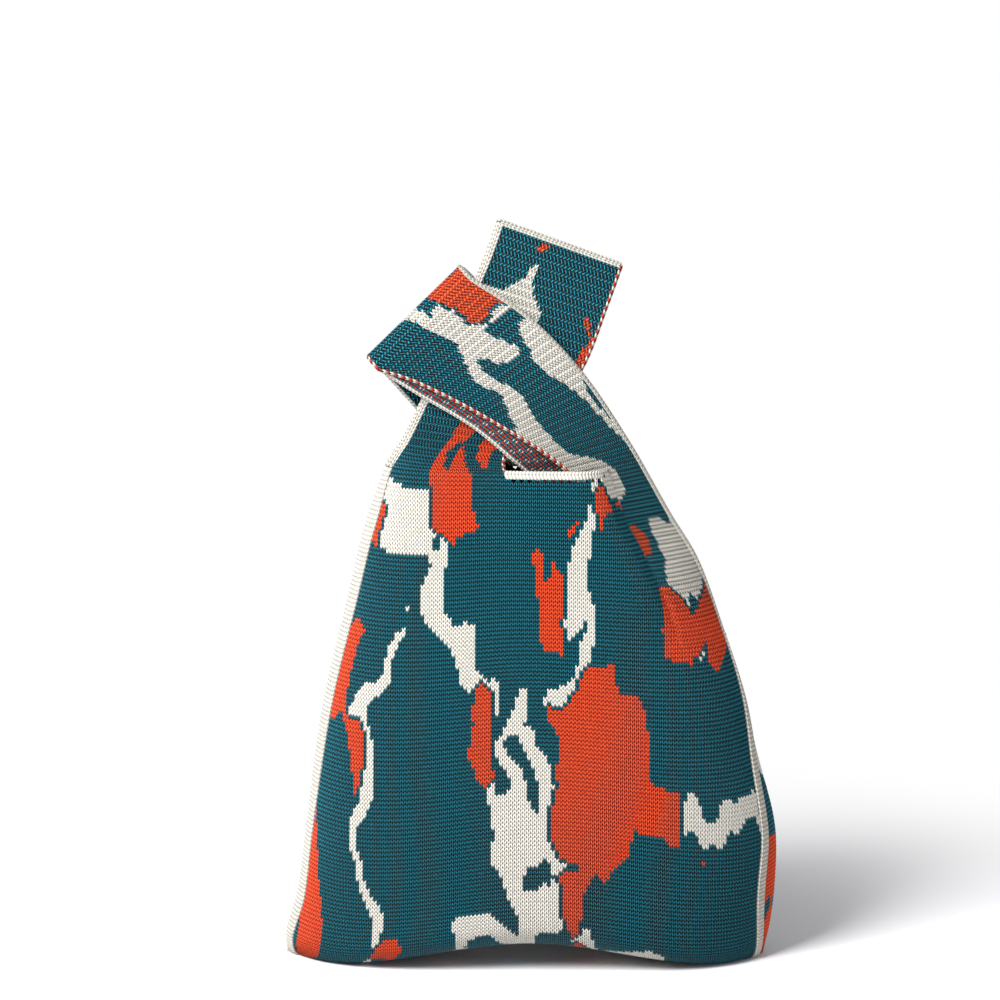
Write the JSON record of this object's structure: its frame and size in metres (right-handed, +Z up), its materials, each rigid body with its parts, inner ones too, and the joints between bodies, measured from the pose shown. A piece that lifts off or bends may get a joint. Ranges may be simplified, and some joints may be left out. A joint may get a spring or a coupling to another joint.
{
  "type": "knitted tote bag",
  "caption": "Soft jacquard knitted tote with a long and a short double-band handle, the short one folded round the long one to close the mouth.",
  "frame": {"origin": "centre of the bounding box on the floor that the bag stands on", "axes": "+Z up, the bag's front faces -Y, the long handle grows from the -X shoulder"},
  "size_m": [0.2221, 0.0906, 0.3404],
  "materials": {
    "jacquard_knit": "matte wool-like jacquard knit in teal, orange and cream",
    "cream_border": "matte cream knit, linked and bound off"
  },
  "bodies": {
    "bag": {"front_panel": "jacquard_knit", "back_panel": "jacquard_knit", "front_underside": "jacquard_knit", "back_underside": "jacquard_knit", "long_handle_front": "jacquard_knit", "long_handle_back": "jacquard_knit", "short_handle_front": "jacquard_knit", "short_handle_back": "jacquard_knit", "short_handle_fold_outer": "jacquard_knit", "short_handle_fold_inner": "jacquard_knit", "left_side_seam": "cream_border", "right_side_seam": "cream_border", "bottom_seam": "cream_border", "front_neck_band": "cream_border", "back_neck_band": "cream_border", "long_handle_side_seam": "cream_border", "short_handle_side_seam": "cream_border"},
    "long_handle_end": {"long_handle_end_front": "jacquard_knit", "long_handle_end_back": "jacquard_knit", "long_handle_end_border": "cream_border", "long_handle_end_seam": "cream_border"},
    "short_handle_tail": {"short_handle_tail_inner": "jacquard_knit", "short_handle_tail_outer": "jacquard_knit", "short_handle_tail_border": "cream_border", "short_handle_end_seam": "cream_border"}
  },
  "joints": [
    {"name": "long_handle_flop", "type": "hinge", "parent": "bag", "child": "long_handle_end", "pos_m": [-0.0205, -0.00815, 0.32], "axis": [0.9415, 0, -0.3371], "range_deg": [-75, 75]},
    {"name": "short_handle_unfold", "type": "hinge", "parent": "bag", "child": "short_handle_tail", "pos_m": [-0.0685, -0.00815, 0.2725], "axis": [0.7158, 0, 0.6983], "range_deg": [0, 80]}
  ]
}
